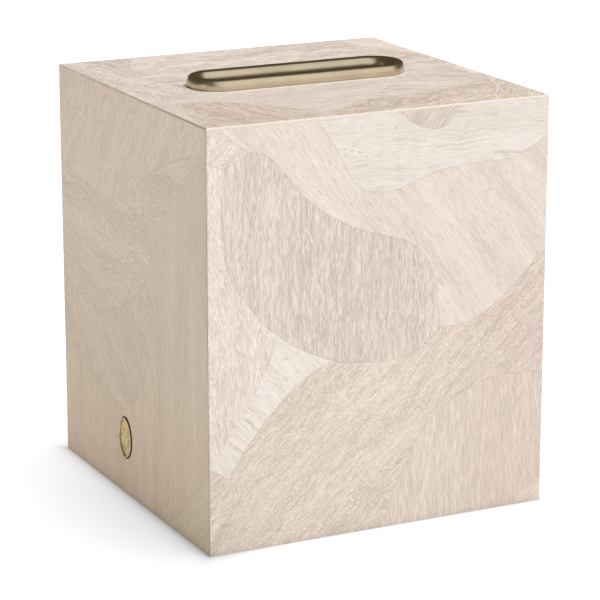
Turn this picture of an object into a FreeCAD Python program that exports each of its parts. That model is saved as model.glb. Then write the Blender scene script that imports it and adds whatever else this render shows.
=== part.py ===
import FreeCAD, Part
import os
import Sketcher

# Cover for a cube tissue carton: a mitred board box with an open bottom, a skin of
# shaped veneer leaves, a brass ring in the slot and a small oval brass disc in one side.
# Origin: centre of the base, on the surface the cover stands on.  +Z up, front is -Y.

V = FreeCAD.Vector
doc = FreeCAD.newDocument("tissue_box_cover")

# ------------------------------------------------------------------ driving sizes
SIZES = [
    ("box_width", "139.7", "outside, along X"),
    ("box_depth", "139.7", "outside, along Y"),
    ("box_height", "158.75", "outside, without the ring"),
    ("board_thick", "6", "side and top boards"),
    ("veneer_thick", "0.7", "wood leaves"),
    ("seam_gap", "0.06", "line between two leaves on a face"),
    ("arris_gap", "0.12", "line between the leaves of two upright faces"),
    ("lap_gap", "0.04", "line under the top leaves"),
    ("arris_ease", "0.3", "bevel that takes the sharpness off the outer edges"),
    ("ring_straight", "65.8", "length of the slot ring's straight sides"),
    ("slot_half", "9.4", "half width of the slot in the boards"),
    ("ring_bore", "7.8", "half width of the opening inside the ring's spigot"),
    ("ring_spigot", "9.3", "half width over the spigot"),
    ("ring_seat", "11.73", "half width of the ring where it sits on the wood"),
    ("ring_lip_in", "8.789", "half width of the mouth where the lip's round begins"),
    ("ring_lip_low", "3.818", "height at which the lip's round begins, inside"),
    ("ring_lip_out", "11.49", "half width where the lip's round runs into the outer wall"),
    ("ring_lip_high", "3.7", "height at which the lip's round runs into the outer wall"),
    ("ring_mouth", "0.66", "height above the wood at which the opening begins to widen"),
    ("disc_y", "8.2", "centre of the disc's recess, along Y"),
    ("disc_z", "22.6", "centre of the disc's recess, above the base"),
    ("recess_high", "8.55", "half height of the oval recess in the left side"),
    ("recess_wide", "6.45", "half width of the oval recess"),
    ("recess_deep", "2.2", "depth of the recess below the wood's face"),
    ("disc_high", "8.2", "half height of the oval brass disc"),
    ("disc_wide", "6.05", "half width of the disc"),
    ("disc_field", "2.25", "thickness of the disc at its field"),
    ("disc_rim", "2.6", "thickness of the disc at its rim, which stands just proud of the wood"),
    ("disc_rim_wide", "0.9", "width of the disc's rim"),
    ("disc_rim_round", "0.25", "round on the rim's edges"),
    ("dome_high", "4.4", "half height of the swelling in the disc's field"),
    ("dome_wide", "3.1", "half width of the swelling"),
    ("dome_rise", "0.33", "rise of the swelling above the field"),
]
sheet = doc.addObject("Spreadsheet::Sheet", "Sizes")
for row, (alias, value, note) in enumerate(SIZES, start=1):
    sheet.set("A%d" % row, note)
    sheet.set("B%d" % row, value)
    sheet.setAlias("B%d" % row, alias)
doc.recompute()


def size(alias):
    return float(sheet.get(alias))


W, D, H = size("box_width"), size("box_depth"), size("box_height")
VEN = size("veneer_thick")


def bind(obj, **exprs):
    for prop, expr in exprs.items():
        obj.setExpression(prop.replace("__", "."), expr)


def box(name, length, width, height, x, y, z):
    b = doc.addObject("Part::Box", name)
    bind(b, Length=length, Width=width, Height=height,
         Placement__Base__x=x, Placement__Base__y=y, Placement__Base__z=z)
    return b


# ------------------------------------------------------------------ shared plane turns
TURN_FRONT = FreeCAD.Rotation(V(1, 0, 0), 90)        # u -> X, v -> Z, normal -Y
TURN_SIDE = FreeCAD.Rotation(V(1, 1, 1), 120)        # u -> Y, v -> Z, normal +X


def corners_sketch(body, name, points):
    """A closed outline whose corners are bound to the sheet, drawn on the body's own XY
    plane. points: [(x, y)], each of them a pair of expression and value."""
    sk = body.newObject("Sketcher::SketchObject", name)
    plane = [f for f in body.Origin.OriginFeatures if f.Role == "XY_Plane"][0]
    sk.AttachmentSupport = [(plane, "")]
    sk.MapMode = "FlatFace"
    number = [(px[1], py[1]) for px, py in points]
    n = len(number)
    for i in range(n):
        a, b = number[i], number[(i + 1) % n]
        sk.addGeometry(Part.LineSegment(V(a[0], a[1], 0), V(b[0], b[1], 0)), False)
    loop = [V(a, b, 0) for a, b in number]
    close_loop(sk, loop)
    for i, (px, py) in enumerate(points):
        pin(sk, i, loop[i], px[0], py[0])
    return sk


def end_at(sk, geo, point):
    """Which end of a sketch's edge lies at the point."""
    return 1 if (sk.getPoint(geo, 1) - point).Length < 1e-6 else 2


def close_loop(sk, points):
    """Joins each edge to the next. points[i] is where edge i begins."""
    n = len(points)
    for i in range(n):
        j = (i + 1) % n
        sk.addConstraint(Sketcher.Constraint("Coincident", i, end_at(sk, i, points[j]), j, end_at(sk, j, points[j])))


def pin(sk, geo, point, x_expr=None, y_expr=None):
    """Binds the corner where an edge begins to the sheet."""
    end = end_at(sk, geo, point)
    for axis, kind, expr, value in (("x", "DistanceX", x_expr, point.x), ("y", "DistanceY", y_expr, point.y)):
        if expr is not None:
            k = sk.addConstraint(Sketcher.Constraint(kind, -1, 1, geo, end, value))
            sk.renameConstraint(k, "%s%d" % (axis, geo))
            sk.setExpression("Constraints.%s%d" % (axis, geo), expr)


# ------------------------------------------------------------------ the board box
# Half sizes over the boards (inside the veneer) and inside the cavity.
THICK = size("board_thick")
OX = ("(Sizes.box_width / 2 - Sizes.veneer_thick)", W / 2 - VEN)
OY = ("(Sizes.box_depth / 2 - Sizes.veneer_thick)", D / 2 - VEN)
IX = ("(Sizes.box_width / 2 - Sizes.veneer_thick - Sizes.board_thick)", W / 2 - VEN - THICK)
IY = ("(Sizes.box_depth / 2 - Sizes.veneer_thick - Sizes.board_thick)", D / 2 - VEN - THICK)
WALL = "Sizes.box_height - Sizes.veneer_thick - Sizes.board_thick"


def minus(pair):
    return ("-" + pair[0], -pair[1])


def side_board(name, points):
    body = doc.addObject("PartDesign::Body", name + "_body")
    sk = corners_sketch(body, name + "_plan", points)
    pad = body.newObject("PartDesign::Pad", name + "_pad")
    pad.Profile = sk
    pad.setExpression("Length", WALL)
    sk.Visibility = False
    body.Tip = pad
    return body


front_board = side_board("front_board", [(minus(OX), minus(OY)), (OX, minus(OY)), (IX, minus(IY)),
                                         (minus(IX), minus(IY))])
back_board = side_board("back_board", [(OX, OY), (minus(OX), OY), (minus(IX), IY), (IX, IY)])
left_body = side_board("left_wall", [(minus(OX), OY), (minus(OX), minus(OY)), (minus(IX), minus(IY)),
                                     (minus(IX), IY)])
right_board = side_board("right_board", [(OX, minus(OY)), (OX, OY), (IX, IY), (IX, minus(IY))])

# the slot: a straight-sided opening with round ends, through the top board and its leaves
slot_mid = box("slot_mid", "Sizes.ring_straight", "2 * Sizes.slot_half",
               "Sizes.board_thick + Sizes.veneer_thick + 4",
               "-Sizes.ring_straight / 2", "-Sizes.slot_half",
               "Sizes.box_height - Sizes.veneer_thick - Sizes.board_thick - 2")
slot_ends = []
for name, sign in (("slot_end_left", "-"), ("slot_end_right", "")):
    c = doc.addObject("Part::Cylinder", name)
    bind(c, Radius="Sizes.slot_half", Height="Sizes.board_thick + Sizes.veneer_thick + 4",
         Placement__Base__x=sign + "Sizes.ring_straight / 2",
         Placement__Base__z="Sizes.box_height - Sizes.veneer_thick - Sizes.board_thick - 2")
    slot_ends.append(c)
slot = doc.addObject("Part::MultiFuse", "slot_form")
slot.Shapes = [slot_mid] + slot_ends

top_blank = box("top_blank", "2 * " + OX[0], "2 * " + OY[0], "Sizes.board_thick", "-" + OX[0], "-" + OY[0],
                "Sizes.box_height - Sizes.veneer_thick - Sizes.board_thick")
top_board = doc.addObject("Part::Cut", "top_board_cut")
top_board.Base, top_board.Tool = top_blank, slot

# An upright oval in the left side: u -> Z (its long way), v -> Y, and it is run along -X
TURN_OVAL = FreeCAD.Rotation(V(0, 0, 1), V(0, 1, 0), V(-1, 0, 0), "ZXY")


def oval(name, high, wide, length, x):
    line = doc.addObject("Part::Ellipse", name + "_line")
    line.Placement.Rotation = TURN_OVAL
    bind(line, MajorRadius=high, MinorRadius=wide, Placement__Base__x=x,
         Placement__Base__y="Sizes.disc_y", Placement__Base__z="Sizes.disc_z")
    run = doc.addObject("Part::Extrusion", name)
    run.Base = line
    run.DirMode = "Custom"
    run.Dir = V(-1, 0, 0)
    run.Solid = True
    run.setExpression("LengthFwd", length)
    return run


# the oval recess in the left side, through the leaf and into the board
recess = oval("recess_form", "Sizes.recess_high", "Sizes.recess_wide", "Sizes.recess_deep + 3",
              "-Sizes.box_width / 2 + Sizes.recess_deep")
left_board = doc.addObject("Part::Cut", "left_board_cut")
left_board.Base, left_board.Tool = left_body, recess

# ------------------------------------------------------------------ the leaves
# Each face is one thin sheet, cut apart along its seams.  A seam is a curve through hand-read
# points in millimetres, from the face's centre line and the base.  Its ends are "edge" (runs off
# the sheet), "-" (meets other seams at that point) or the name of the seam that it stops on.
FRONT_SEAMS = [
    ("f_ab", [(-63.7, 158.7), (-63.2, 156.8), (-60.1, 153.4), (-57.0, 150.9), (-53.5, 148.4)], "edge", "-"),
    ("f_ac", [(-53.5, 148.4), (-60.1, 145.2), (-64.0, 143.6)], "-", "-"),
    ("f_af", [(-64.0, 143.6), (-67.1, 144.8), (-69.8, 146.0)], "-", "edge"),
    ("f_fc", [(-64.0, 143.6), (-64.3, 131.9), (-64.2, 117.2), (-63.1, 109.0), (-61.1, 103.9), (-58.0, 98.8),
              (-54.6, 93.2), (-51.0, 88.6), (-47.1, 84.4), (-42.8, 80.9)], "-", "-"),
    ("f_fg", [(-42.8, 80.9), (-44.0, 75.8), (-45.6, 70.5), (-48.4, 65.3), (-50.8, 61.5), (-53.2, 56.7),
              (-57.1, 51.3), (-60.7, 46.7), (-63.8, 41.6), (-67.0, 37.7), (-70.3, 34.9)], "-", "edge"),
    ("f_cb", [(-53.5, 148.4), (-48.4, 147.5), (-44.8, 145.3), (-41.3, 142.0), (-37.3, 136.8), (-33.3, 132.3),
              (-29.3, 128.1), (-25.3, 124.9), (-20.5, 121.9), (-15.2, 118.9), (-9.1, 116.1), (-4.1, 114.0),
              (1.2, 112.5), (7.5, 110.8), (12.5, 108.3), (16.7, 104.4), (20.0, 99.4), (22.2, 93.8),
              (23.4, 87.9), (24.0, 81.3), (24.9, 75.0)], "-", "-"),
    ("f_ch", [(24.9, 75.0), (19.1, 70.0), (15.7, 67.2), (12.4, 65.9), (7.3, 65.3), (1.1, 65.0), (-5.1, 65.3),
              (-13.4, 66.4), (-20.7, 68.3)], "-", "-"),
    ("f_cg", [(-20.7, 68.3), (-26.4, 70.6), (-31.6, 73.0), (-35.6, 75.4), (-39.6, 78.2), (-42.8, 80.9)], "-", "-"),
    ("f_gh", [(-20.7, 68.3), (-23.6, 66.7), (-26.8, 64.7), (-31.7, 62.5), (-35.7, 59.7), (-38.9, 56.8),
              (-41.7, 54.3), (-44.9, 51.4), (-48.9, 46.7), (-52.9, 42.1), (-56.4, 37.5), (-59.2, 33.5),
              (-62.4, 28.4)], "-", "-"),
    ("f_ge", [(-62.4, 28.4), (-66.2, 31.1), (-70.3, 33.4)], "-", "edge"),
    ("f_bd", [(-28.0, 159.1), (-27.2, 157.7), (-24.8, 155.3), (-21.2, 150.8), (-18.4, 145.7), (-15.1, 139.7),
              (-11.9, 134.5), (-8.6, 131.0), (-5.3, 129.5), (-0.8, 128.8), (5.4, 129.3), (11.7, 130.9),
              (18.0, 133.1), (24.4, 134.6), (30.7, 135.5), (37.2, 136.0), (43.6, 135.7), (50.1, 136.0),
              (56.7, 137.3), (62.4, 139.7), (69.9, 144.4)], "edge", "edge"),
    ("f_pd", [(6.4, 158.8), (7.6, 157.2), (9.7, 155.4), (12.6, 153.5), (16.0, 151.6), (19.3, 150.6),
              (23.5, 150.4), (26.5, 151.4), (28.7, 153.7), (29.9, 158.0)], "edge", "edge"),
    ("f_bh", [(24.9, 75.0), (30.6, 74.8), (35.8, 75.3), (39.7, 76.5), (44.4, 79.0), (50.1, 82.6), (55.3, 87.0),
              (60.6, 92.0), (65.4, 96.7), (69.9, 100.5)], "-", "edge"),
    ("f_hk", [(0.0, -0.8), (1.3, 2.1), (3.0, 6.8), (5.9, 13.6), (9.3, 20.7), (13.5, 29.3), (18.2, 37.0),
              (24.2, 42.7), (28.9, 45.1), (33.2, 47.4), (37.9, 49.8), (43.5, 51.5), (50.0, 52.6), (58.8, 52.7),
              (69.9, 51.8)], "edge", "edge"),
    ("f_km", [(69.9, 9.1), (65.4, 7.6), (61.9, 5.3), (59.2, 2.5), (57.4, 0.3)], "edge", "edge"),
]
FRONT_LEAVES = [
    ("front_leaf_corner_top_left", (-66, 151)), ("front_leaf_pale_band", (-30, 145)),
    ("front_leaf_centre", (-10, 90)), ("front_leaf_upper_right", (45, 147)),
    ("front_leaf_half_round", (20, 155)), ("front_leaf_left_strip", (-67, 90)),
    ("front_leaf_taper", (-52, 50)), ("front_leaf_lower_sweep", (-10, 35)),
    ("front_leaf_lower_right", (45, 20)), ("front_leaf_corner_low_right", (67.5, 3)),
]
LEFT_SEAMS = [
    ("l_ab", [(70.2, 119.8), (61.5, 119.0), (51.8, 117.6), (36.0, 115.5), (22.7, 115.0), (13.6, 116.4),
              (5.7, 118.8), (-3.1, 123.6), (-10.8, 128.4), (-20.4, 133.3), (-32.5, 138.2), (-46.2, 142.9),
              (-63.9, 147.9)], "edge", "-"),
    ("l_ah", [(-63.9, 147.9), (-67.4, 150.8), (-70.5, 153.5)], "-", "edge"),
    ("l_hc", [(-63.9, 147.9), (-67.4, 147.1), (-70.4, 146.4)], "-", "edge"),
    ("l_bc", [(-63.9, 147.9), (-56.8, 141.2), (-50.6, 135.4), (-44.2, 129.9), (-38.8, 124.9), (-32.3, 118.6),
              (-27.6, 112.9), (-23.9, 107.1), (-19.1, 101.3), (-15.8, 96.3), (-14.4, 92.1)], "-", "-"),
    ("l_be", [(70.2, 70.7), (62.6, 70.1), (51.9, 68.7), (41.4, 68.3), (31.0, 68.8), (20.9, 70.9), (8.9, 75.5),
              (-0.9, 80.4), (-8.6, 86.0), (-14.4, 92.1)], "edge", "-"),
    ("l_ec", [(-14.4, 92.1), (-16.2, 86.3), (-18.0, 80.2), (-18.9, 73.8), (-17.9, 64.7), (-15.0, 55.1),
              (-10.2, 48.0), (-2.5, 41.2), (6.2, 37.0), (16.1, 35.2), (26.1, 35.8), (36.3, 37.4), (46.7, 39.3),
              (57.2, 41.7), (70.2, 44.9)], "-", "edge"),
    ("l_cg", [(-68.8, 30.2), (-62.4, 25.5), (-56.2, 20.4), (-50.9, 15.5), (-46.5, 10.7), (-40.2, 6.1),
              (-33.0, 2.1), (-28.7, 0.0)], "edge", "edge"),
]
LEFT_LEAVES = [
    ("left_leaf_top", (20, 140)), ("left_leaf_small_wedge", (-68.2, 149)), ("left_leaf_upper", (20, 95)),
    ("left_leaf_middle", (30, 50)), ("left_leaf_main", (-45, 60)), ("left_leaf_corner_low", (-62, 10)),
]
TOP_SEAMS = [
    ("t_ab", [(-35.4, 74.0), (-42.9, 60.3), (-49.5, 46.5), (-52.5, 33.6), (-52.3, 24.0), (-50.2, 17.0),
              (-47.0, 10.9), (-42.4, 6.4), (-36.0, 2.0)], "edge", "-"),
    ("t_ad", [(-36.0, 0.0), (-46.1, -3.4), (-51.0, -6.9), (-56.2, -10.4), (-61.6, -13.6), (-69.9, -18.1)],
     "-", "edge"),
    ("t_corner", [(-70.0, -70.4), (-68.2, -59.4), (-65.0, -43.3), (-59.5, -26.7)], "edge", "-"),
    ("t_de", [(-59.5, -26.7), (-55.6, -25.4), (-50.8, -26.8), (-45.1, -29.7), (-39.5, -33.7), (-34.2, -38.5),
              (-30.2, -44.9), (-24.4, -54.3), (-20.1, -63.9)], "-", "-"),
    ("t_eh", [(-20.1, -63.9), (-18.0, -67.6), (-15.6, -71.2)], "-", "edge"),
    ("t_dh", [(-20.1, -63.9), (-13.0, -60.0), (-7.6, -56.4), (-0.4, -50.4), (6.7, -46.4)], "-", "-"),
    ("t_bc", [(54.5, 72.8), (54.5, 64.8), (55.3, 56.5), (57.7, 48.7), (61.0, 41.7), (64.2, 34.9), (66.8, 27.1),
              (70.2, 18.1)], "edge", "edge"),
    ("t_bg", [(38.0, 2.0), (47.0, 6.4), (52.4, 8.2), (56.7, 8.4), (60.5, 6.4), (63.3, 2.6), (65.0, -2.9),
              (65.7, -10.5), (65.7, -20.0), (64.9, -32.5)], "-", "-"),
    ("t_bf", [(70.8, -15.6), (67.8, -23.6), (64.9, -32.5)], "edge", "-"),
    ("t_gf", [(64.9, -32.5), (62.0, -42.5), (58.7, -49.8), (52.7, -57.9), (45.5, -65.2), (38.2, -70.6)],
     "-", "edge"),
    ("t_gh", [(6.7, -46.4), (14.7, -47.2), (22.7, -47.6), (32.1, -45.8), (43.1, -41.7), (54.2, -36.4),
              (64.9, -32.5)], "-", "-"),
    ("t_dg", [(34.0, 0.0), (39.0, -7.7), (31.2, -19.5), (21.9, -30.8), (13.7, -40.0), (6.7, -46.4)], "-", "-"),
]
TOP_LEAVES = [
    ("top_leaf_left", (-60, 20)), ("top_leaf_back", (0, 50)), ("top_leaf_corner_back", (63, 62)),
    ("top_leaf_before_ring", (-20, -25)), ("top_leaf_front_left", (-45, -55)),
    ("top_leaf_corner_right", (62, -62)), ("top_leaf_right", (50, -15)), ("top_leaf_front_right", (20, -60)),
]
BACK_SEAMS = [
    ("b_one", [(-70, 118), (-52, 108), (-36, 112), (-22, 126), (-12, 142), (-8, 158)], "edge", "edge"),
    ("b_two", [(-22, 126), (-4, 112), (14, 104), (34, 104), (52, 112), (70, 124)], "b_one", "edge"),
    ("b_three", [(34, 104), (40, 84), (36, 62), (22, 44), (4, 34), (-16, 30), (-36, 34), (-52, 46), (-60, 64),
                 (-60, 86), (-52, 108)], "b_two", "b_one"),
    ("b_four", [(36, 62), (50, 54), (62, 52), (70, 54)], "b_three", "edge"),
    ("b_five", [(4, 34), (10, 18), (12, 0)], "b_three", "edge"),
    ("b_six", [(-36, 34), (-46, 18), (-58, 8), (-70, 4)], "b_three", "edge"),
    ("b_seven", [(46, 158), (50, 148), (60, 142), (70, 142)], "edge", "edge"),
]
BACK_LEAVES = [
    ("back_leaf_upper_left", (-50, 140)), ("back_leaf_top", (20, 130)), ("back_leaf_corner_top", (62, 152)),
    ("back_leaf_centre", (0, 70)), ("back_leaf_edge_strip", (-66, 60)), ("back_leaf_upper_right", (55, 85)),
    ("back_leaf_lower_right", (40, 25)), ("back_leaf_bottom", (-20, 12)),
]
RIGHT_SEAMS = [
    ("r_one", [(-70, 60), (-54, 66), (-40, 78), (-32, 94), (-30, 112), (-36, 130), (-48, 144), (-54, 158)],
     "edge", "edge"),
    ("r_two", [(-32, 94), (-12, 88), (8, 90), (26, 98), (40, 112), (48, 130), (52, 146), (50, 158)],
     "r_one", "edge"),
    ("r_three", [(40, 112), (54, 104), (70, 102)], "r_two", "edge"),
    ("r_four", [(-40, 78), (-30, 60), (-14, 46), (6, 38), (28, 38), (48, 46), (62, 58), (70, 66)],
     "r_one", "edge"),
    ("r_five", [(6, 38), (2, 24), (-6, 12), (-10, 0)], "r_four", "edge"),
    ("r_six", [(-70, 20), (-60, 18), (-52, 10), (-50, 0)], "edge", "edge"),
    ("r_seven", [(-36, 130), (-20, 134), (-6, 144), (0, 158)], "r_one", "edge"),
]
RIGHT_LEAVES = [
    ("right_leaf_upper_left", (-60, 110)), ("right_leaf_top_wedge", (-25, 148)), ("right_leaf_centre", (5, 125)),
    ("right_leaf_upper_right", (60, 130)), ("right_leaf_middle", (40, 75)), ("right_leaf_lower_right", (35, 15)),
    ("right_leaf_lower_left", (-40, 30)), ("right_leaf_corner_low", (-64, 8)),
]

EDGE_RUN = 3.0      # how far a seam runs past the sheet's edge
MEET_RUN = 0.015    # how far a seam runs into the seams that it meets


def seam_curve(points):
    curve = Part.BSplineCurve()
    if len(points) > 5:
        curve.approximate(Points=points, DegMin=3, DegMax=5, Tolerance=0.25)
    else:
        curve.interpolate(points)
    return curve


def seam_samples(seams):
    """Each seam's centre line as evenly spaced points with their normals."""
    curves, out = {}, {}
    for name, pts, start, end in seams:
        pts = [V(x, y, 0) for x, y in pts]
        if start in curves:
            c = curves[start]
            pts[0] = c.value(c.parameter(pts[0]))
        if end in curves:
            c = curves[end]
            pts[-1] = c.value(c.parameter(pts[-1]))
        c = curves[name] = seam_curve(pts)
        n = max(8, int(c.length() / 4.0))
        line = c.discretize(n + 1)
        tan = [c.tangent(c.parameter(p))[0] for p in line]
        run = EDGE_RUN if start == "edge" else MEET_RUN
        line.insert(0, line[0] - tan[0] * run)
        tan.insert(0, tan[0])
        run = EDGE_RUN if end == "edge" else MEET_RUN
        line.append(line[-1] + tan[-1] * run)
        tan.append(tan[-1])
        out[name] = [(p, V(-t.y, t.x, 0).normalize()) for p, t in zip(line, tan)]
    return out


def spline(points):
    c = Part.BSplineCurve()
    c.interpolate(points)
    return c


def cut_sheet(face, blank, seams, leaves, turn, base, extra=None):
    """Cuts the blank sheet along its seams; returns {leaf: shape source}."""
    tools = []
    half = size("seam_gap") / 2
    for name, rows in seam_samples(seams).items():
        sk = doc.addObject("Sketcher::SketchObject", name + "_line")
        one = [p + n * half for p, n in rows]
        two = [p - n * half for p, n in rows]
        sk.addGeometry([spline(one), Part.LineSegment(one[-1], two[-1]),
                        spline(list(reversed(two))), Part.LineSegment(two[0], one[0])], False)
        sk.Placement = FreeCAD.Placement(V(0, 0, 0), turn)
        for axis, expr in base.items():
            sk.setExpression("Placement.Base." + axis, expr)
        ex = doc.addObject("Part::Extrusion", name + "_cutter")
        ex.Base = sk
        ex.DirMode = "Normal"
        ex.Solid = True
        ex.setExpression("LengthFwd", "Sizes.veneer_thick + 2")
        tools.append(ex)
    body = blank
    for i, t in enumerate(tools):
        cut = doc.addObject("Part::Cut", "%s_sheet_%d" % (face, i + 1))
        cut.Base, cut.Tool = body, t
        body = cut
    if extra is not None:
        cut = doc.addObject("Part::Cut", face + "_sheet_open")
        cut.Base, cut.Tool = body, extra
        body = cut
    return body, leaves


def eased(blank, chosen):
    """Bevels the edges of a blank whose middles the test chooses."""
    doc.recompute()
    picks = []
    for i, e in enumerate(blank.Shape.Edges, start=1):
        m = e.valueAt((e.FirstParameter + e.LastParameter) / 2)
        if chosen(m):
            picks.append(i)
    cut = doc.addObject("Part::Chamfer", blank.Name + "_eased")
    cut.Base = blank
    cut.Edges = [(i, size("arris_ease"), size("arris_ease")) for i in picks]
    return cut


def near(a, b):
    return abs(a - b) < 1e-6


# The front and back skins run the full width and lap the edges of the left and right ones.
# The top leaves lie over them all.
LAP_H = "Sizes.box_height - Sizes.veneer_thick - Sizes.lap_gap"
front_blank = eased(box("front_blank", "Sizes.box_width", "Sizes.veneer_thick", LAP_H,
                        "-Sizes.box_width / 2", "-Sizes.box_depth / 2", "0"),
                    lambda m: near(abs(m.x), W / 2) and near(m.y, -D / 2))
back_blank = eased(box("back_blank", "Sizes.box_width", "Sizes.veneer_thick", LAP_H,
                       "-Sizes.box_width / 2", "Sizes.box_depth / 2 - Sizes.veneer_thick", "0"),
                   lambda m: near(abs(m.x), W / 2) and near(m.y, D / 2))
SIDE_D = "Sizes.box_depth - 2 * (Sizes.veneer_thick + Sizes.arris_gap)"
SIDE_Y = "-Sizes.box_depth / 2 + Sizes.veneer_thick + Sizes.arris_gap"
left_blank = box("left_blank", "Sizes.veneer_thick", SIDE_D, LAP_H, "-Sizes.box_width / 2", SIDE_Y, "0")
right_blank = box("right_blank", "Sizes.veneer_thick", SIDE_D, LAP_H,
                  "Sizes.box_width / 2 - Sizes.veneer_thick", SIDE_Y, "0")
top_sheet_blank = eased(box("top_sheet_blank", "Sizes.box_width", "Sizes.box_depth", "Sizes.veneer_thick",
                            "-Sizes.box_width / 2", "-Sizes.box_depth / 2",
                            "Sizes.box_height - Sizes.veneer_thick"),
                        lambda m: (near(m.z, H) and (near(abs(m.x), W / 2) or near(abs(m.y), D / 2)))
                        or (near(abs(m.x), W / 2) and near(abs(m.y), D / 2)))

FLAT = FreeCAD.Rotation()
sheets = {
    "front": cut_sheet("front", front_blank, FRONT_SEAMS, FRONT_LEAVES, TURN_FRONT,
                       {"y": "-Sizes.box_depth / 2 + Sizes.veneer_thick + 1"}),
    "back": cut_sheet("back", back_blank, BACK_SEAMS, BACK_LEAVES, TURN_FRONT,
                      {"y": "Sizes.box_depth / 2 + 1"}),
    "left": cut_sheet("left", left_blank, LEFT_SEAMS, LEFT_LEAVES, TURN_SIDE,
                      {"x": "-Sizes.box_width / 2 - 1"}, recess),
    "right": cut_sheet("right", right_blank, RIGHT_SEAMS, RIGHT_LEAVES, TURN_SIDE,
                       {"x": "Sizes.box_width / 2 - Sizes.veneer_thick - 1"}),
    "top": cut_sheet("top", top_sheet_blank, TOP_SEAMS, TOP_LEAVES, FLAT,
                     {"z": "Sizes.box_height - Sizes.veneer_thick - 1"}, slot),
}

# ------------------------------------------------------------------ the slot ring
# One cast ring: a spigot that lines the slot, a seat on the wood, a swelling outer wall and a
# rounded lip.  Its section is drawn from the slot's axis outwards (u) and up from the wood's
# face (v), run along the straight sides and turned round the ends.  The inner wall swells
# like the outer one, from the lip down to the spigot's opening.
LOW = VEN + THICK
section_points = [
    ("Sizes.ring_bore", "-(Sizes.veneer_thick + Sizes.board_thick)", size("ring_bore"), -LOW),
    ("Sizes.ring_bore", "Sizes.ring_mouth", size("ring_bore"), size("ring_mouth")),
    ("Sizes.ring_lip_in", "Sizes.ring_lip_low", size("ring_lip_in"), size("ring_lip_low")),
    ("Sizes.ring_lip_out", "Sizes.ring_lip_high", size("ring_lip_out"), size("ring_lip_high")),
    ("Sizes.ring_seat", None, size("ring_seat"), 0),
    ("Sizes.ring_spigot", None, size("ring_spigot"), 0),
    ("Sizes.ring_spigot", "-(Sizes.veneer_thick + Sizes.board_thick)", size("ring_spigot"), -LOW),
]


def bulge(a, b, sag):
    """The point that stands sag off the middle of a-b, to the left of a-b."""
    m = (a + b) * 0.5
    d = (b - a).normalize()
    return m + V(-d.y, d.x, 0) * sag


def ring_section(name, turn, x_expr):
    sk = doc.addObject("Sketcher::SketchObject", name)
    p = [V(a, b, 0) for _, _, a, b in section_points]
    arcs = {1: bulge(p[1], p[2], 0.2547),        # inner wall, 5.5 in radius
            2: bulge(p[2], p[3], 0.742),         # lip, 1.6 in radius, 4.5 high at its crest
            3: bulge(p[3], p[4], 0.4315)}        # outer wall, 4.2 in radius, widest 1.6 up
    for i in range(7):
        a, b = p[i], p[(i + 1) % 7]
        sk.addGeometry(Part.Arc(a, arcs[i], b) if i in arcs else Part.LineSegment(a, b), False)
    close_loop(sk, p)
    for i, (u, v, _, _) in enumerate(section_points):
        pin(sk, i, p[i], u, v)
    for i in (4, 5):
        sk.addConstraint(Sketcher.Constraint("PointOnObject", i, end_at(sk, i, p[i]), -1))
    sk.Placement = FreeCAD.Placement(V(0, 0, 0), turn)
    sk.setExpression("Placement.Base.x", x_expr)
    sk.setExpression("Placement.Base.z", "Sizes.box_height")
    return sk


TURN_NEAR = FreeCAD.Rotation(V(0, -1, 0), V(0, 0, 1), V(-1, 0, 0), "ZXY")   # u -> -Y, v -> Z
TURN_FAR = FreeCAD.Rotation(V(0, 1, 0), V(0, 0, 1), V(1, 0, 0), "ZXY")      # u -> +Y, v -> Z
sec_near = ring_section("ring_section_near", TURN_NEAR, "Sizes.ring_straight / 2")
sec_far = ring_section("ring_section_far", TURN_FAR, "-Sizes.ring_straight / 2")
ring_parts = []
for name, sec, cx in (("near", sec_near, "Sizes.ring_straight / 2"), ("far", sec_far, "-Sizes.ring_straight / 2")):
    run = doc.addObject("Part::Extrusion", "ring_side_" + name)
    run.Base = sec
    run.DirMode = "Normal"
    run.Solid = True
    run.setExpression("LengthFwd", "Sizes.ring_straight")
    turn = doc.addObject("Part::Revolution", "ring_end_" + name)
    turn.Source = sec
    turn.Axis = V(0, 0, 1)
    turn.setExpression("Base.x", cx)
    turn.Angle = 180
    turn.Solid = True
    ring_parts += [run, turn]
slot_ring = doc.addObject("Part::MultiFuse", "slot_ring_body")
slot_ring.Shapes = ring_parts
slot_ring.Refine = True

# ------------------------------------------------------------------ the disc
# An oval with a flat field, a raised rim and a low oval swelling in the middle of the field.
# Its back lies on the recess's floor and it faces out of the left side, -X.
FLOOR_X = "-Sizes.box_width / 2 + Sizes.recess_deep"
disc_blank = oval("disc_blank", "Sizes.disc_high", "Sizes.disc_wide", "Sizes.disc_rim", FLOOR_X)
disc_sunk = oval("disc_sunk", "Sizes.disc_high - Sizes.disc_rim_wide", "Sizes.disc_wide - Sizes.disc_rim_wide",
                 "2", FLOOR_X + " - Sizes.disc_field")
disc_cut = doc.addObject("Part::Cut", "disc_cut")
disc_cut.Base, disc_cut.Tool = disc_blank, disc_sunk
doc.recompute()
RIM_X = -W / 2 + size("recess_deep") - size("disc_rim")
disc_rounded = doc.addObject("Part::Fillet", "disc_rounded")
disc_rounded.Base = disc_cut
disc_rounded.Edges = [(i, size("disc_rim_round"), size("disc_rim_round"))
                      for i, e in enumerate(disc_cut.Shape.Edges, start=1)
                      if abs(e.BoundBox.XMin - RIM_X) < 1e-3 and abs(e.BoundBox.XMax - RIM_X) < 1e-3]
disc_dome = doc.addObject("Part::Ellipsoid", "disc_dome")
disc_dome.Placement.Rotation = TURN_OVAL
bind(disc_dome, Radius1="Sizes.dome_rise", Radius2="Sizes.dome_high", Radius3="Sizes.dome_wide",
     Placement__Base__x=FLOOR_X + " - Sizes.disc_field",
     Placement__Base__y="Sizes.disc_y", Placement__Base__z="Sizes.disc_z")
disc_body = doc.addObject("Part::Fuse", "medallion_body")
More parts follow.
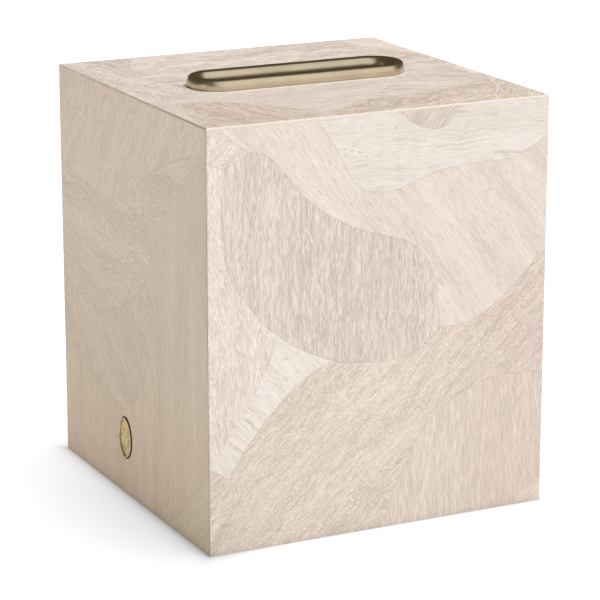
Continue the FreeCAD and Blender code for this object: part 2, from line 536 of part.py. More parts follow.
disc_body.Base, disc_body.Tool = disc_rounded, disc_dome

doc.recompute()

# ------------------------------------------------------------------ nodes
nodes = {
    "front_board": front_board, "back_board": back_board, "left_board": left_board,
    "right_board": right_board, "top_board": top_board, "slot_ring": slot_ring, "medallion": disc_body,
}
for name, obj in nodes.items():
    obj.Label = name

FACE_POINT = {
    "front": lambda u, v: V(u, -D / 2 + VEN / 2, v),
    "back": lambda u, v: V(u, D / 2 - VEN / 2, v),
    "left": lambda u, v: V(-W / 2 + VEN / 2, u, v),
    "right": lambda u, v: V(W / 2 - VEN / 2, u, v),
    "top": lambda u, v: V(u, v, H - VEN / 2),
}
for face, (sheet_cut, leaves) in sheets.items():
    solids = sheet_cut.Shape.Solids
    if len(solids) != len(leaves):
        raise RuntimeError("%s: %d solids for %d leaves: %s" % (
            face, len(solids), len(leaves), [(round(s.CenterOfMass.x, 1), round(s.CenterOfMass.y, 1),
                                              round(s.CenterOfMass.z, 1), round(s.Volume, 1)) for s in solids]))
    for name, (u, v) in leaves:
        point = FACE_POINT[face](u, v)
        hit = [s for s in solids if s.isInside(point, 1e-4, True)]
        if len(hit) != 1:
            raise RuntimeError("%s: its point is in %d leaves" % (name, len(hit)))
        leaf = doc.addObject("Part::Feature", name)
        leaf.Shape = hit[0]
        leaf.Label = name
        nodes[name] = leaf

# ------------------------------------------------------------------ checks, then the files
bad = []
for obj in doc.Objects:
    if "Invalid" in obj.State or "Error" in obj.State:
        bad.append("%s: %s" % (obj.Name, obj.State))
for name, obj in nodes.items():
    shape = obj.Shape
    if shape.isNull() or not shape.isValid() or len(shape.Solids) != 1:
        bad.append("%s: shape null, not valid or not one solid" % name)
if bad:
    raise RuntimeError("failed: " + "; ".join(bad))

os.makedirs("parts", exist_ok=True)
for name, obj in nodes.items():
    obj.Shape.exportStep(os.path.join("parts", name + ".step"))
    b = obj.Shape.BoundBox
    print("%-28s vol %9.1f mm3  x %.2f..%.2f  y %.2f..%.2f  z %.2f..%.2f" % (
        name, obj.Shape.Volume, b.XMin, b.XMax, b.YMin, b.YMax, b.ZMin, b.ZMax))
print(len(nodes), "nodes")
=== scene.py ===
import math

import bpy
from mathutils import Euler, Matrix, Vector

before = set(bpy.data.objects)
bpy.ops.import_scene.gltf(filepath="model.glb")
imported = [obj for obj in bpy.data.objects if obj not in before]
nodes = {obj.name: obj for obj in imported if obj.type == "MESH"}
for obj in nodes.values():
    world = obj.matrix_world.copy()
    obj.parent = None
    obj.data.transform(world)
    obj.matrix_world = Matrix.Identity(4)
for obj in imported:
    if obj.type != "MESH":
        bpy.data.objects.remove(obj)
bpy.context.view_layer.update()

scene = bpy.context.scene

# ---------------------------------------------------------------- small helpers


def new_material(name):
    m = bpy.data.materials.new(name)
    m.use_nodes = True
    m.node_tree.nodes.clear()
    return m, m.node_tree


def add(tree, kind, **props):
    n = tree.nodes.new(kind)
    for k, v in props.items():
        setattr(n, k, v)
    return n


def put(socket, value):
    socket.default_value = value


def math_node(tree, op, a, b=None, c=None, clamp=False):
    n = add(tree, "ShaderNodeMath", operation=op, use_clamp=clamp)
    for i, v in enumerate((a, b, c)):
        if v is None:
            continue
        if isinstance(v, (int, float)):
            n.inputs[i].default_value = v
        else:
            tree.links.new(v, n.inputs[i])
    return n.outputs[0]


def noise(tree, vec, scale_uvw, detail=2.0, rough=0.5, offset=(0, 0, 0)):
    """Noise in grain space: u runs along the grain, v across it, both in millimetres."""
    mp = add(tree, "ShaderNodeMapping")
    put(mp.inputs["Scale"], scale_uvw)
    put(mp.inputs["Location"], offset)
    tree.links.new(vec, mp.inputs["Vector"])
    n = add(tree, "ShaderNodeTexNoise", noise_dimensions="3D")
    put(n.inputs["Scale"], 1.0)
    put(n.inputs["Detail"], detail)
    put(n.inputs["Roughness"], rough)
    tree.links.new(mp.outputs[0], n.inputs["Vector"])
    return n.outputs["Fac"]


def smooth(tree, value, lo, hi, out_lo=0.0, out_hi=1.0):
    n = add(tree, "ShaderNodeMapRange", interpolation_type="SMOOTHSTEP")
    for sock, v in zip(("From Min", "From Max", "To Min", "To Max"), (lo, hi, out_lo, out_hi)):
        put(n.inputs[sock], v)
    tree.links.new(value, n.inputs["Value"])
    return n.outputs[0]


def mix_color(tree, fac, a, b, blend="MIX"):
    n = add(tree, "ShaderNodeMix", data_type="RGBA", blend_type=blend)
    if isinstance(fac, (int, float)):
        n.inputs[0].default_value = fac
    else:
        tree.links.new(fac, n.inputs[0])
    for i, v in ((6, a), (7, b)):
        if isinstance(v, tuple):
            n.inputs[i].default_value = (*v, 1.0)
        else:
            tree.links.new(v, n.inputs[i])
    return n.outputs[2]


# ---------------------------------------------------------------- the veneer group
# One node group draws every leaf.  Its vector is in millimetres with x along the grain.
# bands: slow changes of tone, streaks: soft lines, cells: the lens-shaped figure with a dark
# line round each lens, lines: long thin dark lines, pores: short dark dashes.


def ridge(tree, value, width):
    """0 on the curve where the noise crosses its middle, 1 away from it."""
    return smooth(tree, math_node(tree, "ABSOLUTE", math_node(tree, "SUBTRACT", value, 0.5)), 0.0, width)


def veneer_group():
    g = bpy.data.node_groups.new("veneer", "ShaderNodeTree")
    itf = g.interface
    itf.new_socket("Vector", in_out="INPUT", socket_type="NodeSocketVector")
    for name in ("Bands", "Streaks", "Cells", "Cell Along", "Cell Across", "Lines", "Pores", "Wave"):
        itf.new_socket(name, in_out="INPUT", socket_type="NodeSocketFloat")
    for name in ("Light", "Dark", "Pore"):
        itf.new_socket(name, in_out="INPUT", socket_type="NodeSocketColor")
    itf.new_socket("Color", in_out="OUTPUT", socket_type="NodeSocketColor")
    itf.new_socket("Height", in_out="OUTPUT", socket_type="NodeSocketFloat")
    gi = g.nodes.new("NodeGroupInput")
    go = g.nodes.new("NodeGroupOutput")
    L = g.links
    vec = gi.outputs["Vector"]

    # the grain is never quite straight: push it sideways by slow noise
    w1 = noise(g, vec, (0.02, 0.03, 0.03), 1.0, 0.4, (11.0, 3.0, 7.0))
    w2 = noise(g, vec, (0.085, 0.07, 0.07), 1.0, 0.5, (5.0, 17.0, 2.0))
    w3 = noise(g, vec, (0.30, 0.25, 0.2), 0.0, 0.5, (1.0, 9.0, 12.0))
    side = math_node(g, "ADD", math_node(g, "MULTIPLY", math_node(g, "SUBTRACT", w1, 0.5), 9.0),
                     math_node(g, "MULTIPLY", math_node(g, "SUBTRACT", w2, 0.5), 3.2))
    side = math_node(g, "ADD", side, math_node(g, "MULTIPLY", math_node(g, "SUBTRACT", w3, 0.5), 1.1))
    side = math_node(g, "MULTIPLY", side, gi.outputs["Wave"])
    comb = add(g, "ShaderNodeCombineXYZ")
    L.new(side, comb.inputs["Y"])
    va = add(g, "ShaderNodeVectorMath", operation="ADD")
    L.new(vec, va.inputs[0])
    L.new(comb.outputs[0], va.inputs[1])
    v = va.outputs[0]

    bands = noise(g, v, (0.010, 0.10, 0.05), 2.0, 0.6)
    streaks = noise(g, v, (0.060, 0.62, 0.2), 2.0, 0.65, (3.1, 0, 0))
    fibres = noise(g, v, (0.21, 2.3, 0.4), 1.0, 0.6, (0, 7.7, 0))
    scale = add(g, "ShaderNodeCombineXYZ")
    L.new(gi.outputs["Cell Along"], scale.inputs["X"])
    L.new(gi.outputs["Cell Across"], scale.inputs["Y"])
    scale.inputs["Z"].default_value = 0.3
    vm = add(g, "ShaderNodeVectorMath", operation="MULTIPLY")
    L.new(v, vm.inputs[0])
    L.new(scale.outputs[0], vm.inputs[1])
    cell_n = noise(g, vm.outputs[0], (1.0, 1.0, 1.0), 1.0, 0.45, (9.2, 4.4, 1.0))
    thread = smooth(g, cell_n, 0.36, 0.64, -0.5, 0.5)
    cell = math_node(g, "ADD", thread, math_node(g, "MULTIPLY", ridge(g, cell_n, 0.10), 0.45))
    patchy = smooth(g, noise(g, vec, (0.045, 0.06, 0.06), 1.0, 0.5, (8.0, 1.0, 5.0)), 0.35, 0.62, 0.72, 1.0)
    line_n = noise(g, v, (0.022, 0.50, 0.2), 1.0, 0.5, (6.0, 12.0, 3.0))
    line = math_node(g, "SUBTRACT", 1.0, ridge(g, line_n, 0.030))
    line_mask = smooth(g, noise(g, vec, (0.05, 0.12, 0.1), 1.0, 0.5, (7.0, 5.0, 14.0)), 0.46, 0.60)
    pore_n = noise(g, v, (0.34, 2.3, 0.5), 0.0, 0.5, (21.0, 2.0, 6.0))
    pore_mask = noise(g, vec, (0.05, 0.12, 0.1), 1.0, 0.5, (2.0, 31.0, 4.0))

    def part(value, middle, gain, amount):
        return math_node(g, "MULTIPLY", math_node(g, "MULTIPLY", math_node(g, "SUBTRACT", value, middle), gain),
                         amount)

    tone = math_node(g, "ADD", 0.5, part(bands, 0.5, 1.7, gi.outputs["Bands"]))
    tone = math_node(g, "ADD", tone, part(streaks, 0.5, 2.6, gi.outputs["Streaks"]))
    tone = math_node(g, "ADD", tone, part(fibres, 0.5, 2.6, math_node(g, "ADD", gi.outputs["Streaks"], 0.30)))
    tone = math_node(g, "ADD", tone, math_node(g, "MULTIPLY", part(cell, 0.30, 0.85, gi.outputs["Cells"]), patchy))
    tone = math_node(g, "MAXIMUM", tone, -0.25)
    tone = math_node(g, "MINIMUM", tone, 1.25)
    # the mix below runs on past its two ends, so that nothing is cut off flat
    mixer = add(g, "ShaderNodeMix", data_type="RGBA", clamp_factor=False)
    L.new(tone, mixer.inputs[0])
    L.new(gi.outputs["Dark"], mixer.inputs[6])
    L.new(gi.outputs["Light"], mixer.inputs[7])
    # lines: thin, tan and long
    ml = add(g, "ShaderNodeMix", data_type="RGBA")
    L.new(math_node(g, "MULTIPLY", math_node(g, "MULTIPLY", line, line_mask),
                    math_node(g, "MULTIPLY", gi.outputs["Lines"], 0.42), clamp=True), ml.inputs[0])
    L.new(mixer.outputs[2], ml.inputs[6])
    L.new(gi.outputs["Pore"], ml.inputs[7])
    # pores: short dark dashes along the grain, gathered in places
    pore = smooth(g, pore_n, 0.68, 0.77)
    pore = math_node(g, "MULTIPLY", pore, smooth(g, pore_mask, 0.44, 0.62))
    pore = math_node(g, "MULTIPLY", pore, gi.outputs["Pores"], clamp=True)
    mp = add(g, "ShaderNodeMix", data_type="RGBA")
    L.new(pore, mp.inputs[0])
    L.new(ml.outputs[2], mp.inputs[6])
    L.new(gi.outputs["Pore"], mp.inputs[7])
    L.new(mp.outputs[2], go.inputs["Color"])
    h = math_node(g, "SUBTRACT", math_node(g, "MULTIPLY", tone, 0.5), math_node(g, "MULTIPLY", pore, 0.6))
    L.new(h, go.inputs["Height"])
    return g


VENEER = veneer_group()

# how each face lies: the turn that brings it flat, so that x and y run in the face
FACE_TURN = {
    "front": Matrix.Rotation(math.radians(-90), 3, "X"),      # (x, z)
    "back": Matrix.Rotation(math.radians(-90), 3, "X"),
    "left": Matrix(((0, 1, 0), (0, 0, 1), (1, 0, 0))),        # (y, z)
    "right": Matrix(((0, 1, 0), (0, 0, 1), (1, 0, 0))),
    "top": Matrix.Identity(3),
}

# the woods
PALE = (0.795, 0.704, 0.632)
CREAM = (0.815, 0.745, 0.685)
BEIGE = (0.70, 0.608, 0.535)
PINK = (0.736, 0.633, 0.546)
TAN = (0.70, 0.585, 0.485)
DEEP = (0.69, 0.60, 0.51)
FAWN = (0.70, 0.597, 0.506)
MOSS = (0.675, 0.575, 0.455)

# leaf: (grain angle, wood, strength, bands, streaks, cells, along, across, lines, pores, wave)
# the angle is in degrees from the face's level line; along and across set the size of the
# figure's lenses, per millimetre
LEAVES = {
    "front_leaf_corner_top_left": (52, PALE, 0.875, 0.5, 0.4, 0.8, 0.80, 2.1, 0.1, 0.3, 1.2),
    "front_leaf_pale_band": (-53, PALE, 0.89, 0.65, 0.25, 0.15, 0.30, 1.60, 0.5, 0.6, 0.5),
    "front_leaf_centre": (90, BEIGE, 0.93, 0.45, 0.6, 0.9, 0.36, 3.1, 0.1, 0.5, 0.45),
    "front_leaf_upper_right": (-1, CREAM, 0.895, 0.5, 0.2, 0.15, 0.25, 1.60, 1.3, 0.7, 0.6),
    "front_leaf_half_round": (56, BEIGE, 0.895, 0.5, 0.45, 0.5, 0.30, 1.9, 0.5, 0.8, 0.7),
    "front_leaf_left_strip": (92, PALE, 0.92, 0.4, 0.4, 0.7, 0.55, 2.5, 0.1, 0.3, 0.9),
    "front_leaf_taper": (-42, CREAM, 0.935, 0.3, 0.25, 0.0, 0.25, 1.10, 1.5, 0.7, 0.4),
    "front_leaf_lower_sweep": (43, PINK, 0.925, 0.5, 0.5, 0.85, 0.8, 1.9, 0.0, 0.4, 1.0),
    "front_leaf_lower_right": (90, PINK, 0.935, 0.35, 0.4, 0.45, 0.24, 2.1, 0.1, 0.3, 0.3),
    "front_leaf_corner_low_right": (20, PINK, 1.03, 0.3, 0.4, 0.3, 0.30, 1.50, 0.2, 0.3, 0.6),
    "left_leaf_top": (126, TAN, 0.96, 0.5, 0.3, 0.35, 0.40, 1.50, 0.3, 0.3, 1.1),
    "left_leaf_small_wedge": (20, TAN, 0.93, 0.3, 0.3, 0.0, 0.25, 1.10, 0.2, 0.3, 0.5),
    "left_leaf_upper": (3, TAN, 0.93, 0.5, 0.3, 0.45, 0.45, 1.45, 0.4, 0.5, 1.1),
    "left_leaf_middle": (35, MOSS, 0.91, 0.5, 0.35, 0.3, 0.40, 1.50, 0.3, 0.4, 0.9),
    "left_leaf_main": (90, TAN, 0.91, 0.5, 0.25, 0.15, 0.20, 1.70, 0.4, 0.3, 0.3),
    "left_leaf_corner_low": (145, MOSS, 0.93, 0.5, 0.4, 0.1, 0.30, 1.00, 0.5, 0.3, 0.7),
    "top_leaf_left": (-82, PALE, 0.93, 1.0, 1.2, 0.5, 0.28, 1.15, 0.8, 0.9, 0.6),
    "top_leaf_back": (4, PALE, 0.965, 1.5, 1.3, 0.6, 0.28, 1.1, 1.0, 0.8, 1.0),
    "top_leaf_corner_back": (-35, PALE, 1.05, 0.5, 0.4, 0.1, 0.25, 1.00, 0.2, 0.4, 0.6),
    "top_leaf_before_ring": (12, PALE, 0.935, 0.6, 0.6, 0.3, 0.3, 1.2, 0.4, 0.6, 0.9),
    "top_leaf_front_left": (-76, FAWN, 0.965, 0.8, 1.5, 0.6, 0.28, 1.2, 1.0, 1.0, 0.8),
    "top_leaf_corner_right": (60, DEEP, 1.03, 0.8, 1.0, 0.3, 0.25, 1.00, 0.6, 0.8, 1.0),
    "top_leaf_right": (-27, PALE, 0.93, 0.9, 1.2, 0.4, 0.28, 1.15, 1.0, 0.9, 0.6),
    "top_leaf_front_right": (20, FAWN, 0.985, 0.8, 1.1, 0.9, 0.32, 1.1, 0.6, 0.9, 1.4),
    "back_leaf_upper_left": (60, PALE, 0.94, 0.5, 0.35, 0.6, 0.60, 1.60, 0.2, 0.4, 1.0),
    "back_leaf_top": (-12, PALE, 0.98, 0.5, 0.35, 0.1, 0.25, 1.10, 0.6, 0.6, 0.5),
    "back_leaf_corner_top": (48, TAN, 1.0, 0.5, 1.0, 0.4, 0.30, 1.10, 0.3, 0.6, 0.8),
    "back_leaf_centre": (90, BEIGE, 1.0, 0.45, 0.6, 0.85, 0.36, 2.35, 0.1, 0.35, 0.6),
    "back_leaf_edge_strip": (88, PALE, 0.96, 0.4, 0.4, 0.7, 0.40, 1.60, 0.1, 0.3, 1.0),
    "back_leaf_upper_right": (-48, CREAM, 1.0, 0.4, 0.35, 0.0, 0.25, 1.10, 1.0, 0.7, 0.5),
    "back_leaf_lower_right": (38, PINK, 0.985, 0.5, 0.5, 0.7, 0.65, 1.55, 0.0, 0.3, 1.2),
    "back_leaf_bottom": (4, PINK, 0.97, 0.4, 0.45, 0.4, 0.24, 1.70, 0.3, 0.3, 0.6),
    "right_leaf_upper_left": (84, BEIGE, 1.0, 0.5, 0.4, 0.6, 0.30, 1.70, 0.2, 0.4, 0.5),
    "right_leaf_top_wedge": (-35, PALE, 1.0, 0.4, 0.35, 0.1, 0.25, 1.10, 0.5, 0.6, 0.5),
    "right_leaf_centre": (52, PINK, 0.985, 0.5, 0.5, 0.7, 0.60, 1.55, 0.1, 0.4, 1.2),
    "right_leaf_upper_right": (-62, CREAM, 1.0, 0.4, 0.4, 0.0, 0.25, 1.10, 0.9, 0.7, 0.5),
    "right_leaf_middle": (6, PALE, 0.96, 0.5, 0.4, 0.2, 0.25, 1.10, 0.5, 0.5, 0.7),
    "right_leaf_lower_right": (90, PINK, 0.975, 0.35, 0.4, 0.5, 0.24, 1.80, 0.1, 0.2, 0.4),
    "right_leaf_lower_left": (128, PINK, 0.99, 0.5, 0.35, 0.75, 0.60, 1.55, 0.1, 0.4, 1.1),
    "right_leaf_corner_low": (30, TAN, 1.0, 0.5, 0.5, 0.2, 0.30, 1.10, 0.3, 0.4, 0.8),
}


def shade(c, k):
    return tuple(min(1.0, a * b) for a, b in zip(c, k))


def veneer_material(node, index):
    angle, wood, strength, bands, streaks, cells, along, across, lines, pores, wave = LEAVES[node]
    tone = shade(wood, (strength,) * 3)
    m, t = new_material("veneer_" + node)
    out = add(t, "ShaderNodeOutputMaterial")
    bsdf = add(t, "ShaderNodeBsdfPrincipled")
    put(bsdf.inputs["Roughness"], 0.58)
    put(bsdf.inputs["Specular IOR Level"], 0.30)
    tc = add(t, "ShaderNodeTexCoord")
    mp = add(t, "ShaderNodeMapping")
    turn = Matrix.Rotation(math.radians(-angle), 3, "Z") @ FACE_TURN[node.split("_")[0]]
    put(mp.inputs["Rotation"], turn.to_euler())
    put(mp.inputs["Scale"], (1000.0, 1000.0, 1000.0))
    put(mp.inputs["Location"], (37.0 * index, 53.0 * index, 11.0 * index))
    t.links.new(tc.outputs["Object"], mp.inputs["Vector"])
    g = add(t, "ShaderNodeGroup")
    g.node_tree = VENEER
    t.links.new(mp.outputs[0], g.inputs["Vector"])
    for name, value in (("Bands", bands), ("Streaks", streaks), ("Cells", cells), ("Cell Along", along),
                        ("Cell Across", across), ("Lines", lines), ("Pores", pores), ("Wave", wave)):
        put(g.inputs[name], value)
    put(g.inputs["Light"], (*shade(tone, (1.13, 1.135, 1.15)), 1))
    put(g.inputs["Dark"], (*shade(tone, (0.85, 0.83, 0.80)), 1))
    put(g.inputs["Pore"], (*shade(tone, (0.66, 0.57, 0.46)), 1))
    col = g.outputs["Color"]
    if node in ("left_leaf_main", "left_leaf_corner_low"):
        # painted shade: browner toward the lower end
        sep = add(t, "ShaderNodeSeparateXYZ")
        t.links.new(tc.outputs["Object"], sep.inputs[0])
        low = smooth(t, sep.outputs["Z"], 0.020, 0.085, 1.0, 0.0)
        col = mix_color(t, low, col, (1.0, 0.985, 0.90), "MULTIPLY")
    if node.startswith("top_"):
        # painted highlight: a pale line on the wood along the front of the ring's foot
        sep = add(t, "ShaderNodeSeparateXYZ")
        t.links.new(tc.outputs["Object"], sep.inputs[0])
        ax = math_node(t, "MAXIMUM", math_node(t, "SUBTRACT", math_node(t, "ABSOLUTE", sep.outputs["X"]), 0.0329), 0.0)
        far = math_node(t, "SQRT", math_node(t, "ADD", math_node(t, "MULTIPLY", ax, ax),
                                             math_node(t, "MULTIPLY", sep.outputs["Y"], sep.outputs["Y"])))
        foot = smooth(t, math_node(t, "SUBTRACT", far, 0.01173), 0.0008, 0.0026, 0.85, 0.0)
        col = mix_color(t, math_node(t, "MULTIPLY", foot, smooth(t, sep.outputs["Y"], -0.010, -0.006, 1.0, 0.0)),
                        col, (0.96, 0.88, 0.78))
    if node in ("front_leaf_lower_sweep", "front_leaf_lower_right", "front_leaf_corner_low_right"):
        # and these darker toward the right, a painted shade
        sep = add(t, "ShaderNodeSeparateXYZ")
        t.links.new(tc.outputs["Object"], sep.inputs[0])
        shade_to_right = smooth(t, sep.outputs["X"], 0.0, 0.066)
        col = mix_color(t, shade_to_right, col, (0.935, 0.92, 0.92), "MULTIPLY")
    t.links.new(col, bsdf.inputs["Base Color"])
    bump = add(t, "ShaderNodeBump")
    put(bump.inputs["Strength"], 0.5)
    put(bump.inputs["Distance"], 0.00012)
    t.links.new(g.outputs["Height"], bump.inputs["Height"])
    t.links.new(bump.outputs[0], bsdf.inputs["Normal"])
    t.links.new(bsdf.outputs[0], out.inputs["Surface"])
    return m


def board_material():
    m, t = new_material("board_wood")
    out = add(t, "ShaderNodeOutputMaterial")
    bsdf = add(t, "ShaderNodeBsdfPrincipled")
    put(bsdf.inputs["Roughness"], 0.75)
    put(bsdf.inputs["Specular IOR Level"], 0.25)
    tc = add(t, "ShaderNodeTexCoord")
    mp = add(t, "ShaderNodeMapping")
    put(mp.inputs["Scale"], (1000.0, 1000.0, 1000.0))
    t.links.new(tc.outputs["Object"], mp.inputs["Vector"])
    fine = noise(t, mp.outputs[0], (1.6, 1.6, 1.6), 3.0, 0.6)
    slow = noise(t, mp.outputs[0], (0.05, 0.05, 0.05), 2.0, 0.5, (4, 4, 4))
    f = math_node(t, "ADD", math_node(t, "MULTIPLY", fine, 0.6), math_node(t, "MULTIPLY", slow, 0.4))
    col = mix_color(t, f, (0.40, 0.28, 0.175), (0.62, 0.48, 0.33))
    t.links.new(col, bsdf.inputs["Base Color"])
    bump = add(t, "ShaderNodeBump")
    put(bump.inputs["Strength"], 0.3)
    put(bump.inputs["Distance"], 0.0001)
    t.links.new(fine, bump.inputs["Height"])
    t.links.new(bump.outputs[0], bsdf.inputs["Normal"])
    t.links.new(bsdf.outputs[0], out.inputs["Surface"])
    return m


def metal_material(name, light, dark, rough, scale, foot_shade=None, mottle=0.12, relief=(0.12, 0.00005),
                   border=False):
    """Satin metal, mottled slowly.  The argument after scale: (low mm, high mm, colour), a painted shade at the foot,
    full at the low height.
    """
    m, t = new_material(name)
    out = add(t, "ShaderNodeOutputMaterial")
    bsdf = add(t, "ShaderNodeBsdfPrincipled")
    put(bsdf.inputs["Metallic"], 1.0)
    put(bsdf.inputs["Roughness"], rough)
    tc = add(t, "ShaderNodeTexCoord")
    mp = add(t, "ShaderNodeMapping")
    put(mp.inputs["Scale"], (1000.0, 1000.0, 1000.0))
    t.links.new(tc.outputs["Object"], mp.inputs["Vector"])
    slow = noise(t, mp.outputs[0], (mottle,) * 3, 3.0, 0.55)
    col = mix_color(t, smooth(t, slow, 0.3, 0.7), dark, light)
    # painted shade: darker toward the foot, standing in for the dark the foot reflects from its contact
    if foot_shade:
        low, high, foot_shade_color = foot_shade
        sep = add(t, "ShaderNodeSeparateXYZ")
        t.links.new(mp.outputs[0], sep.inputs[0])
        foot = smooth(t, sep.outputs["Z"], low, high, 1.0, 0.0)
        col = mix_color(t, foot, col, foot_shade_color)
    if border:
        # painted shade: the oval's outer edge is painted nearly black, for the dark gap and shadow round the disc
        sep = add(t, "ShaderNodeSeparateXYZ")
        t.links.new(mp.outputs[0], sep.inputs[0])
        across = math_node(t, "DIVIDE", math_node(t, "SUBTRACT", sep.outputs["Y"], 8.2), 6.05)
        high = math_node(t, "DIVIDE", math_node(t, "SUBTRACT", sep.outputs["Z"], 22.6), 8.2)
        far = math_node(t, "ADD", math_node(t, "MULTIPLY", across, across), math_node(t, "MULTIPLY", high, high))
        col = mix_color(t, smooth(t, far, 0.90, 0.97), col, (0.07, 0.05, 0.03))
    t.links.new(col, bsdf.inputs["Base Color"])
    fine = noise(t, mp.outputs[0], scale, 2.0, 0.5, (7, 1, 3))
    bump = add(t, "ShaderNodeBump")
    put(bump.inputs["Strength"], relief[0])
    put(bump.inputs["Distance"], relief[1])
    t.links.new(fine, bump.inputs["Height"])
    t.links.new(bump.outputs[0], bsdf.inputs["Normal"])
    t.links.new(bsdf.outputs[0], out.inputs["Surface"])
    return m


def edge_material(name, near_corner, far_corner, blotches=0.45):
    """The cut edge of a leaf: browner than its face, and deepest at the front corner."""
    m, t = new_material(name)
    out = add(t, "ShaderNodeOutputMaterial")
    bsdf = add(t, "ShaderNodeBsdfPrincipled")
    put(bsdf.inputs["Roughness"], 0.7)
    put(bsdf.inputs["Specular IOR Level"], 0.2)
    tc = add(t, "ShaderNodeTexCoord")
    mp = add(t, "ShaderNodeMapping")
    put(mp.inputs["Scale"], (1000.0, 1000.0, 1000.0))
    t.links.new(tc.outputs["Object"], mp.inputs["Vector"])
    sep = add(t, "ShaderNodeSeparateXYZ")
    t.links.new(mp.outputs[0], sep.inputs[0])
    blotch = noise(t, mp.outputs[0], (0.25, 0.25, 0.25), 2.0, 0.6, (2, 8, 5))
    run = smooth(t, sep.outputs["Y"], -70.0, 60.0)
    col = mix_color(t, run, near_corner, far_corner)
    dark = tuple(c * 0.8 for c in near_corner)
    col = mix_color(t, smooth(t, blotch, 0.62, 0.40, 0.0, blotches), col, dark)
    t.links.new(col, bsdf.inputs["Base Color"])
    t.links.new(bsdf.outputs[0], out.inputs["Surface"])
    return m


BOARD = board_material()
EDGE = edge_material("veneer_edge", (0.36, 0.285, 0.215), (0.76, 0.66, 0.56))
# painted highlight: the front edge of the top leaves is painted pale, for the light line along the top front arris
FRONT_EDGE_HIGHLIGHT = edge_material("veneer_front_edge_highlight", (0.785, 0.705, 0.62), (0.80, 0.72, 0.635), 0.12)
# painted shade: the bevel along the top's left side is painted darker
LEFT_BEVEL_SHADE = edge_material("veneer_left_bevel_shade", (0.53, 0.445, 0.365), (0.60, 0.515, 0.43), 0.2)
# painted shade: the walls of the medallion's hole, near black
RECESS_SHADE = edge_material("recess_wall_shade", (0.10, 0.07, 0.045), (0.10, 0.07, 0.045))
# the ring gets a painted shade at its foot
RING = metal_material("ring_metal", (0.68, 0.588, 0.436), (0.60, 0.512, 0.370), 0.33, (1.5, 1.5, 1.5),
                      (158.9, 160.1, (0.42, 0.40, 0.31)))
DISC = metal_material("medallion_metal", (0.60, 0.465, 0.22), (0.30, 0.22, 0.085), 0.34, (0.9, 0.9, 0.9),
                      mottle=0.55, relief=(0.8, 0.0004), border=True)


def assign(obj, mat):
    obj.data.materials.clear()
    obj.data.materials.append(mat)
    for p in obj.data.polygons:
        p.material_index = 0


def brown_edges(obj):
    """The leaf edges that show in the left and right sides, |x| at the box's outside."""
    side = 0.06985
    obj.data.materials.append(EDGE)
    for p in obj.data.polygons:
        if abs((obj.matrix_world.to_3x3() @ p.normal).x) > 0.9 and abs((obj.matrix_world @ p.center).x) > side - 2e-5:
            p.material_index = 1


def top_edges(obj):
    """The front edge of a top leaf with its bevel gets a painted highlight, and the bevel along the left side a
    painted shade.
    """
    obj.data.materials.append(FRONT_EDGE_HIGHLIGHT)
    obj.data.materials.append(LEFT_BEVEL_SHADE)
    slot = len(obj.data.materials)
    for p in obj.data.polygons:
        n = obj.matrix_world.to_3x3() @ p.normal
        c = obj.matrix_world @ p.center
        if n.y < -0.5 and c.y < -0.0694:
            p.material_index = slot - 2
        elif -0.9 < n.x < -0.5 and c.x < -0.0694:
            p.material_index = slot - 1


def shade_recess_walls(obj):
    """The walls of the shallow hole that the medallion sits in, painted near black as painted shade."""
    obj.data.materials.append(RECESS_SHADE)
    slot = len(obj.data.materials) - 1
    for p in obj.data.polygons:
        n = obj.matrix_world.to_3x3() @ p.normal
        c = obj.matrix_world @ p.center
        if abs(n.x) < 0.3 and math.hypot((c.y - 0.0082) / 0.0088, (c.z - 0.0226) / 0.0067) < 1.0 and c.x < -0.060:
            p.material_index = slot


for i, (name, obj) in enumerate(sorted(nodes.items())):
    if "_leaf_" in name:
        assign(obj, veneer_material(name, i + 1))
        if name.split("_")[0] in ("front", "back", "top"):
            brown_edges(obj)
        if name.startswith("top_"):
            top_edges(obj)
        if name == "left_leaf_main":
            shade_recess_walls(obj)
    elif name.endswith("_board"):
        assign(obj, BOARD)
        if name == "left_board":
            shade_recess_walls(obj)
    elif name == "slot_ring":
        assign(obj, RING)
    elif name == "medallion":
        assign(obj, DISC)

# ---------------------------------------------------------------- floor, light, camera
bpy.ops.mesh.primitive_plane_add(size=24.0, location=(0, 0, 0))
floor = bpy.context.object
floor.name = "floor"
fm, ft = new_material("floor_white")
fo = add(ft, "ShaderNodeOutputMaterial")
fb = add(ft, "ShaderNodeBsdfPrincipled")
put(fb.inputs["Base Color"], (0.40, 0.41, 0.43, 1))
put(fb.inputs["Roughness"], 0.9)
put(fb.inputs["Specular IOR Level"], 0.0)
put(fb.inputs["Emission Color"], (1, 1, 1, 1))
# a pale, glowing floor, whitest away from the object: its glow is lowered toward the object, a painted shadow
fc = add(ft, "ShaderNodeTexCoord")
fl = add(ft, "ShaderNodeVectorMath", operation="DISTANCE")
ft.links.new(fc.outputs["Object"], fl.inputs[0])
put(fl.inputs[1], (0.02, -0.04, 0.0))
fx = add(ft, "ShaderNodeSeparateXYZ")
ft.links.new(fc.outputs["Object"], fx.inputs[0])
painted_shadow = math_node(ft, "MULTIPLY", smooth(ft, fl.outputs["Value"], 0.04, 0.25, 0.49, 0.0),
                smooth(ft, fx.outputs["X"], -0.078, -0.030, 1.0, 0.3))
# and a painted contact shadow: dark in the few millimetres along the foot of the box
gap = math_node(ft, "MAXIMUM", math_node(ft, "ABSOLUTE", fx.outputs["X"]), math_node(ft, "ABSOLUTE", fx.outputs["Y"]))
outside = math_node(ft, "GREATER_THAN", gap, 0.067)
gap = math_node(ft, "MAXIMUM", math_node(ft, "SUBTRACT", gap, 0.06985), 0.0)
foot = math_node(ft, "MULTIPLY", math_node(ft, "EXPONENT", math_node(ft, "MULTIPLY", gap, -400.0)), 0.45)
glow = math_node(ft, "SUBTRACT", math_node(ft, "SUBTRACT", 1.0, painted_shadow), foot)
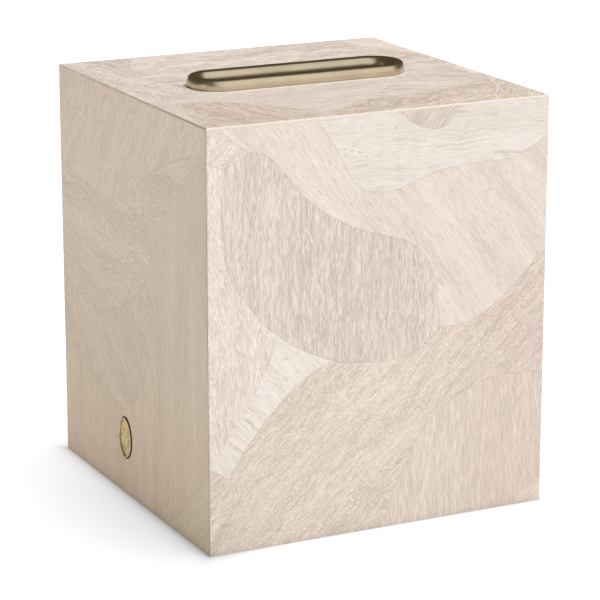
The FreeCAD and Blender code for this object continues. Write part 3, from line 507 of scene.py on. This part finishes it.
# the floor inside the box gives off nothing
glow = math_node(ft, "MULTIPLY", glow, outside)
ft.links.new(math_node(ft, "MAXIMUM", glow, 0.0), fb.inputs["Emission Strength"])
ft.links.new(fb.outputs[0], fo.inputs["Surface"])
floor.data.materials.append(fm)

world = bpy.data.worlds.new("studio")
scene.world = world
world.use_nodes = True
wt = world.node_tree
wt.nodes.clear()
wo = add(wt, "ShaderNodeOutputWorld")
bg = add(wt, "ShaderNodeBackground")
put(bg.inputs["Color"], (1.0, 0.78, 0.46, 1))
put(bg.inputs["Strength"], 0.10)
wt.links.new(bg.outputs[0], wo.inputs["Surface"])


def area(name, location, target, size, power, color=(1, 1, 1)):
    d = bpy.data.lights.new(name, "AREA")
    d.shape = "RECTANGLE"
    d.size, d.size_y = size
    d.energy = power
    d.color = color
    o = bpy.data.objects.new(name, d)
    scene.collection.objects.link(o)
    o.location = location
    o.rotation_euler = (Vector(target) - Vector(location)).to_track_quat("-Z", "Y").to_euler()
    return o


area("key", (0.40, -1.46, 0.95), (0, 0, 0.10), (3.4, 1.8), 17.6)
top = area("overhead", (0.35, -0.25, 1.75), (0, 0, 0.15), (1.4, 1.4), 27.4, (0.99, 1.0, 1.03))
top.visible_glossy = False
fill = area("fill", (-1.7, -0.5, 0.75), (0, 0, 0.08), (1.4, 1.2), 4.5, (1.0, 0.96, 0.92))
fill.visible_glossy = False
area("edge", (-1.76, -0.37, 0.35), (0, 0, 0.16), (0.30, 0.40), 0.7)

cam_data = bpy.data.cameras.new("camera")
cam = bpy.data.objects.new("camera", cam_data)
scene.collection.objects.link(cam)
AZ, EL = math.radians(26.46), math.radians(15.36)
cam.location = (-0.4489, -0.9046, 0.3486)
forward = Vector((math.sin(AZ) * math.cos(EL), math.cos(AZ) * math.cos(EL), -math.sin(EL)))
cam.rotation_euler = forward.to_track_quat("-Z", "Y").to_euler()
cam_data.sensor_width = 36.0
cam_data.lens = 161.04
cam_data.clip_start = 0.01
cam_data.clip_end = 100.0
scene.camera = cam

scene.view_settings.view_transform = "Standard"
scene.view_settings.look = "None"
scene.view_settings.exposure = 0.0
scene.view_settings.gamma = 1.0
